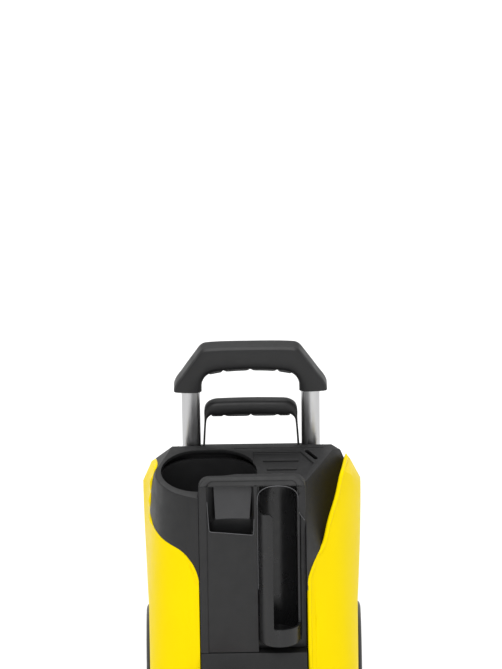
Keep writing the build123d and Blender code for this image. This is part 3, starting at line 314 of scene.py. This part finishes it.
def squircle(across, deep, count=28, power=2.6):
    """Points of a rounded oblong with those half sizes."""
    points = []
    for k in range(count):
        turn = 2 * pi * k / count
        c, s = cos(turn), sin(turn)
        points.append((
            copysign(across * abs(c) ** (2 / power), c),
            copysign(deep * abs(s) ** (2 / power), s),
        ))
    return points


def ring_round(middle, up, side, radius, count):
    """Points of a circle about middle, in the plane of two unit vectors."""
    turns = [2 * pi * k / count for k in range(count)]
    return [middle + (up * cos(turn) + side * sin(turn)) * radius for turn in turns]


# carry handle: a bail that is thick where the hand holds it and thins into flat arms
carry_low, carry_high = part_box("carry_handle")
CARRY_Y = (carry_low.y + carry_high.y) / 2
BAIL = [  # x, z, half thickness, half depth, all in mm, from the left foot to the middle
    (-67.0, carry_low.z / MM, 1.6, 11.0),
    (-66.6, 430.0, 1.6, 10.8),
    (-65.4, 452.0, 1.5, 10.2),
    (-64.0, 474.0, 1.5, 9.8),
    (-63.1, 483.5, 2.2, 10.2),
    (-61.0, 490.0, 4.8, 10.8),
    (-56.6, 496.4, 8.6, 11.4),
    (-50.0, 498.3, 11.3, 11.5),
    (-38.0, 498.9, 11.6, 11.5),
    (-20.0, 499.6, 11.4, 11.5),
    (0.0, 499.8, 11.4, 11.5),
]
half = spline_through(BAIL, 5)
way = half + [(-x, z, a, b) for x, z, a, b in half[-2::-1]]
rings = []
for i, (x, z, thick, deep) in enumerate(way):
    before, after = way[max(i - 1, 0)], way[min(i + 1, len(way) - 1)]
    along = Vector((after[0] - before[0], 0, after[1] - before[1])).normalized()
    out = Vector((-along.z, 0, along.x))
    ring = []
    for u, v in squircle(thick, deep):
        point = Vector((x, 0, z)) + out * u + Vector((0, v, 0))
        ring.append((point.x * MM, CARRY_Y + point.y * MM, point.z * MM))
    rings.append(ring)
shape = bmesh.new()
skin(shape, rings)
solid_piece("carry_bail", shape, "grip", "machine", ("carry_handle",), 50)

# soft undersides of both handles: four cushions with a notch between each pair
NOTCHES = (-37.5, 0, 37.5)  # the same places along both
CUSHION_STEPS = 12


def cushions(half, gap, section, shrink, count, y, height, sag):
    """Bolsters between the notches and out to half, smaller at their tips, in a row that may sag; in mm."""
    thick, deep = section
    thick_loss, deep_loss = shrink
    ends = (-half, *NOTCHES, half)
    shape = bmesh.new()
    for start, end in zip(ends, ends[1:]):
        rings = []
        for k in range(CUSHION_STEPS + 1):
            share = k / CUSHION_STEPS
            x = start + gap + (end - start - 2 * gap) * share
            tip = (2 * share - 1) ** 8
            outline = squircle(thick * (1 - thick_loss * tip), deep * (1 - deep_loss * tip), count)
            middle = height - sag * abs(x / half) ** 2.6
            rings.append([(x * MM, (y + v) * MM, (middle + u) * MM) for u, v in outline])
        skin(shape, rings)
    return shape


shape = cushions(
    half=56, gap=0.9, section=(3.2, 8.6), shrink=(0.5, 0.2), count=20, y=CARRY_Y / MM, height=489.4, sag=0,
)
solid_piece("carry_cushions", shape, "grip_pad", "machine", ("carry_pad",), 50)

# grained back plate of the holster, sloping down to its deeper foot and slightly dished; its lighter guide
# black is painted light on that wall
PLATE = [(-43.4, 452.5), (-46.5, 446.0), (-55.6, 402.4), (-54.0, 400.0), (-43.4, 400.0)]  # y, z in mm
PLATE_X = [(-53.4, 0.2), (-53.0, -0.2), (-51.0, -4.0), (-51.0, -3.4), (-51.0, -3.4)]  # its left and right
PLATE_STEPS = 10
DISH = 1.6
shape = bmesh.new()
rings = []
for k in range(PLATE_STEPS + 1):
    share = k / PLATE_STEPS
    rings.append([
        ((left + (right - left) * share) * MM, (y + DISH * sin(share * pi)) * MM, z * MM)
        for (y, z), (left, right) in zip(PLATE, PLATE_X)
    ])
skin(shape, rings)
solid_piece("holster_plate", shape, "guide", "machine", (), 40)

# thin rounded lips along the mouths of the holster and of the lance channel, in a much lighter black: a
# painted highlight along the rounded edges
FRONT_Y = -56.4  # the front plane's upper end, in mm
FRONT_Z = 453
PANEL_DEPTH = 1.3
LIP_R = 0.55


def lip(name, points):
    """A round bead through x, z points on the sunk front panel."""
    way = []
    for x, z in spline_through(points, 6):
        way.append(Vector((x, FRONT_Y - LEAN.y * (FRONT_Z - z) + PANEL_DEPTH, z)) * MM)
    shape = bmesh.new()
    rings = []
    for i, place in enumerate(way):
        along = (way[min(i + 1, len(way) - 1)] - way[max(i - 1, 0)]).normalized()
        side = along.cross(Vector((0, 1, 0))).normalized()
        rings.append(ring_round(place, side, side.cross(along), LIP_R * MM, 8))
    skin(shape, rings)
    # painted in the lighter lip black, a painted highlight
    solid_piece(name, shape, "dark_cover", "machine", (), 60, "lip")


lip("holster_lip", [
    (-62.4, 430), (-61.4, 410), (-60.4, 392), (-59.6, 387.4), (-56.5, 385.4), (-40, 384), (-20, 382),
    (-3, 380.4), (0.6, 381), (1.8, 385), (2.0, 392), (2.4, 404),
])
lip("channel_lip", [
    (7.2, 300), (7.2, 360), (7.2, 410), (7.2, 432), (8.4, 440), (13.5, 446.6), (22.5, 450.8),
    (35.5, 452.4), (48.5, 450.8), (57.5, 446.6), (62.6, 440), (63.9, 432), (64.0, 420), (64.6, 414),
    (68, 407.6), (72.4, 401.5),
])

# telescopic grip: one bow with a flat top, bevelled shoulders and straight feet over the tubes
grip_low, grip_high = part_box("grip_shell")
GRIP_Y = (grip_low.y + grip_high.y) / 2 / MM
GRIP_OUTER = [  # x, z in mm, right half of the outline from the middle of the top to the foot
    (0, 593.4), (20, 593.4), (40, 593.1), (58, 592.2), (65.5, 590.6), (70.8, 586.2), (78.4, 575.4),
    (88.2, 561.2), (96, 549.5), (101, 542.6), (104.6, 536.4), (106.6, 531.0), (107, 527.4),
]
GRIP_INNER = [  # the same number of places along the inside
    (0, 561.0), (16, 560.7), (33, 559.7), (47, 557.8), (56, 555.0), (62.5, 550.4), (66.4, 544.0),
    (67.8, 538.4), (68.0, 534.6), (68.0, 532.2), (68.0, 530.2), (68.0, 528.6), (68.0, 527.4),
]
SECTION = [  # share from the inner to the outer line, and depth in mm in front of the middle
    (0.0, 6.0), (0.0, 12.5), (0.07, 16.0), (0.2, 17.8), (0.42, 18.0), (0.62, 17.4), (0.84, 16.4),
    (0.95, 15.0), (1.0, 12.0), (1.0, 6.0),
]
SECTION = SECTION + [(share, -deep) for share, deep in reversed(SECTION)]
right_half = [outer + inner for outer, inner in zip(GRIP_OUTER, GRIP_INNER)]
bow = [(-ox, oz, -ix, iz) for ox, oz, ix, iz in reversed(right_half[1:])] + right_half
rings = []
for ox, oz, ix, iz in spline_through(bow, 4):
    rings.append([
        ((ix + (ox - ix) * share) * MM, (GRIP_Y - deep) * MM, (iz + (oz - iz) * share) * MM)
        for share, deep in SECTION
    ])
shape = bmesh.new()
skin(shape, rings)
solid_piece("grip_bow", shape, "grip", "telescopic_handle", ("grip_shell",), 38)

shape = cushions(
    half=59, gap=1.0, section=(4.2, 15.2), shrink=(0.5, 0.14), count=24, y=GRIP_Y, height=561.6, sag=6.2,
)
solid_piece("grip_cushions", shape, "grip_pad", "telescopic_handle", ("grip_pad",), 50)

# rolled edge along each seam: a bead that follows the panel's edge against the black centre
SEAM_RUN = Vector((0, cos(radians(26)), -sin(radians(26))))  # the parting faces run this way
SEAM_MIN_X = 75.2 * MM  # edges nearer the middle than this are left plain
BEAD_R = 3.0
BEAD_SINK = 2.1
BEAD_TAPER = 14  # mm over which each end of a bead grows to its full radius
SHORTEST_CHAIN = 6  # shorter runs of edges are crumbs of the mesh


def on_seam(edge, parting, skin_face):
    """Whether an edge lies between the parting face and the front of the outer skin."""
    is_parting = abs(parting.dot(SEAM_RUN)) < 0.01
    faces_front = skin_face.dot(SEAM_RUN) < -0.12
    is_corner = parting.dot(skin_face) < 0.9
    return is_parting and faces_front and is_corner and any(abs(v.co.x) > SEAM_MIN_X for v in edge.verts)


def seam_chains(node):
    """Ordered runs of (place, outward, towards the seam) along a side panel's front edge."""
    source = bmesh.new()
    source.from_mesh(frame["nodes"][node].data)
    bmesh.ops.remove_doubles(source, verts=source.verts, dist=WELD)
    source.normal_update()
    links = {}
    for edge in source.edges:
        if len(edge.link_faces) != 2:
            continue
        faces = sorted(edge.link_faces, key=lambda face: abs(face.normal.dot(SEAM_RUN)))
        parting, skin_face = faces[0].normal, faces[1].normal
        if on_seam(edge, parting, skin_face):
            for here, there in (edge.verts, reversed(edge.verts)):
                links.setdefault(here.index, []).append((there.index, skin_face.copy(), parting.copy()))
    places = {vert.index: vert.co.copy() for vert in source.verts}
    source.free()
    chains = []
    while links:
        start = min(links, key=lambda i: (len(links[i]) != 1, places[i].z))
        chain, here, seen = [], start, set()
        while here is not None and here not in seen:
            seen.add(here)
            around = links.pop(here)
            outward = sum((n for _, n, _ in around), Vector()).normalized()
            across = sum((n for _, _, n in around), Vector()).normalized()
            chain.append((places[here], outward, across))
            here = next((j for j, _, _ in around if j in links), None)
        chains.append(chain)
    return chains


for side_name in ("left", "right"):
    shape = bmesh.new()
    for chain in seam_chains(side_name + "_side_panel"):
        if len(chain) < SHORTEST_CHAIN:
            continue
        rings = []
        for i, (place, outward, across) in enumerate(chain):
            along = (chain[min(i + 1, len(chain) - 1)][0] - chain[max(i - 1, 0)][0]).normalized()
            up = (outward - along * outward.dot(along)).normalized()
            middle = place - (outward + across) * BEAD_SINK * MM
            from_end = min((place - chain[0][0]).length, (place - chain[-1][0]).length)
            reach = BEAD_R * MM * min(1.0, 0.3 + from_end / (BEAD_TAPER * MM))
            rings.append(ring_round(middle, up, along.cross(up), reach, 12))
        skin(shape, rings)
    solid_piece(side_name + "_seam_bead", shape, "yellow_shell", "machine", (), 60)


# tyres: a rounded section turned about the axle, with grooves across the crown
TYRE_HALF = [  # across the wheel in half widths, and radius in outer radii, from the bead to the crown
    (0.62, 0.80), (0.86, 0.815), (0.98, 0.86), (1.0, 0.90), (0.93, 0.945), (0.8, 0.972), (0.72, 0.966),
    (0.66, 0.984), (0.3, 0.996),
]
TYRE_SECTION = [(-a, r) for a, r in TYRE_HALF] + [(0, 1.0)] + TYRE_HALF[::-1]
CROWN = 0.98  # outer radii beyond which the grooves run
GROOVE = 1.6 * MM
GROOVES = 24
STEPS_PER_GROOVE = 6


def tyre(name):
    """One tyre, turned in the place of its CAD node."""
    low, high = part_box(name + "_tyre")
    middle = (low + high) / 2
    outer = (high.z - low.z) / 2
    half_width = (high.x - low.x) / 2
    count = GROOVES * STEPS_PER_GROOVE
    rings = []
    for k in range(count):
        turn = 2 * pi * k / count
        ring = []
        for across, share in TYRE_SECTION:
            in_groove = k % STEPS_PER_GROOVE == 0 and share > CROWN
            reach = share * outer - (GROOVE if in_groove else 0)
            ring.append(middle + Vector((across * half_width, reach * sin(turn), reach * cos(turn))))
        rings.append(ring)
    shape = bmesh.new()
    skin(shape, rings, closed_path=True)
    solid_piece(name + "_tread", shape, "tyre", name + "_wheel", (name + "_tyre",), 40)


tyre("left")
tyre("right")


# ---------------------------------------------------------------- stage, lights and camera
LIT_POINT = Vector((0, 0, 0.45))
FLOOR = 14  # half its size in metres


def light(name, place, size, power):
    """A rectangular soft light that looks at the machine."""
    lamp = bpy.data.lights.new(name, "AREA")
    lamp.shape = "RECTANGLE"
    lamp.size, lamp.size_y = size
    lamp.energy = power
    holder = bpy.data.objects.new(name, lamp)
    holder.location = place
    holder.rotation_euler = (LIT_POINT - Vector(place)).to_track_quat("-Z", "Y").to_euler()
    bpy.context.scene.collection.objects.link(holder)


corners = [(-FLOOR, -FLOOR, 0), (FLOOR, -FLOOR, 0), (FLOOR, FLOOR, 0), (-FLOOR, FLOOR, 0)]
floor_mesh = bpy.data.meshes.new("floor")
floor_mesh.from_pydata(corners, [], [(0, 1, 2, 3)])
floor = bpy.data.objects.new("floor", floor_mesh)
bpy.context.scene.collection.objects.link(floor)
pale = Nodes("pale_floor")
pale.set(roughness=0.6)
pale.link(pale.blend(pale.noise(2.0, 2), (0.9, 0.9, 0.9), (0.93, 0.93, 0.93)), "Base Color")
floor_mesh.materials.append(pale.material)

light("key", (-0.5, -1.95, 3.05), (1.3, 1.3), 47)
light("strip", (-0.12, -2.7, 0.55), (0.3, 1.5), 5)
light("fill", (1.9, -2.4, 1.6), (1.6, 1.6), 12)
high = bpy.data.lights.new("overhead", "SUN")
high.energy = 1.7
high.angle = radians(50)
holder = bpy.data.objects.new("overhead", high)
holder.rotation_euler = Vector((-0.05, 0.35, 1)).to_track_quat("Z", "Y").to_euler()
bpy.context.scene.collection.objects.link(holder)

world = bpy.data.worlds.new("studio")
world.use_nodes = True
world.node_tree.nodes["Background"].inputs["Color"].default_value = (1, 1, 1, 1)
world.node_tree.nodes["Background"].inputs["Strength"].default_value = 0.7
bpy.context.scene.world = world

ELEVATION = radians(26)
DISTANCE = 8.0
LOOK_AT = Vector((0.0018, 0.102, 0.6085))
lens = bpy.data.cameras.new("camera")
lens.lens = 309.5
lens.clip_end = 60
camera = bpy.data.objects.new("camera", lens)
camera.location = LOOK_AT + DISTANCE * Vector((0, -cos(ELEVATION), sin(ELEVATION)))
camera.rotation_euler = (radians(90) - ELEVATION, 0, 0)
camera.rotation_euler.rotate_axis("Z", radians(-0.8))
bpy.context.scene.collection.objects.link(camera)
bpy.context.scene.camera = camera
bpy.context.scene.view_settings.view_transform = "Standard"
